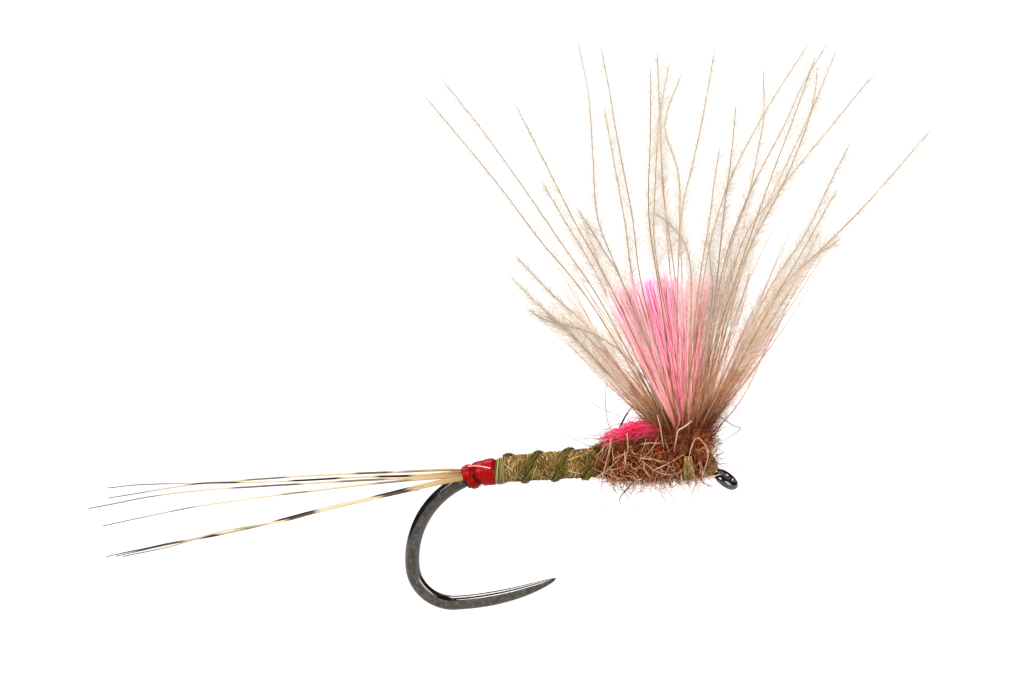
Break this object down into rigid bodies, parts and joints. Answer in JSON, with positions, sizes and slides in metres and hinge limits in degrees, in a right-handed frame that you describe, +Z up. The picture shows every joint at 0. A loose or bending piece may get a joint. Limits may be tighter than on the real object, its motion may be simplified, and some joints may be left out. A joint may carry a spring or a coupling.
{
  "type": "dry fly",
  "caption": "Upright-wing dry fly: barbless down-eyed hook, barred tail, red tag, ribbed olive body, rusty dubbed thorax and a downy wing round a pink yarn post.",
  "frame": {"origin": "middle of the hook's eye", "axes": "+X forward along the shank towards the eye, +Y across the fly, +Z up towards the wing"},
  "size_m": [0.0387, 0.0077, 0.0263],
  "materials": {
    "hook_steel": "dark nickel, polished round wire with matt forged flats",
    "olive_thread": "fine waxed multifilament thread",
    "tail_hair": "smooth cream hair with dark bars",
    "red_floss": "shiny flat floss",
    "pale_strand": "fine pale pink strand",
    "body_fibre": "translucent mottled tan and olive fibre",
    "rib_cord": "twisted dark olive cord",
    "dubbing": "loose rusty brown dubbing",
    "guard_hair": "stiff tan and dark brown hairs",
    "pink_yarn": "fluorescent pink polypropylene yarn",
    "down": "soft grey-beige down",
    "long_down": "single grey-brown down fibres",
    "varnish": "clear glossy coat"
  },
  "bodies": {
    "root": {"hook": "hook_steel", "thread_underbody": "olive_thread", "tail_fibre_1": "tail_hair", "tail_fibre_2": "tail_hair", "tail_fibre_3": "tail_hair", "tail_fibre_4": "tail_hair", "tail_fibre_5": "tail_hair", "tail_fibre_6": "tail_hair", "tail_fibre_7": "tail_hair", "red_tag": "red_floss", "tag_strand": "pale_strand", "rear_collar": "olive_thread", "abdomen_wrap": "body_fibre", "rib_cord": "rib_cord", "thorax_dubbing_rear": "dubbing", "thorax_dubbing_front": "dubbing", "thorax_thread": "olive_thread", "guard_hairs": "guard_hair", "yarn_stub": "pink_yarn", "post_yarn": "pink_yarn", "down_stems": "down", "post_wraps": "olive_thread", "wing_tie_in": "olive_thread", "down_fan_rear": "down", "down_fan_near": "down", "down_fan_far": "down", "down_fan_front": "down", "long_fibres_rear": "long_down", "long_fibres_near": "long_down", "long_fibres_far": "long_down", "long_fibres_front": "long_down", "thread_head": "olive_thread", "head_varnish": "varnish"}
  },
  "joints": []
}
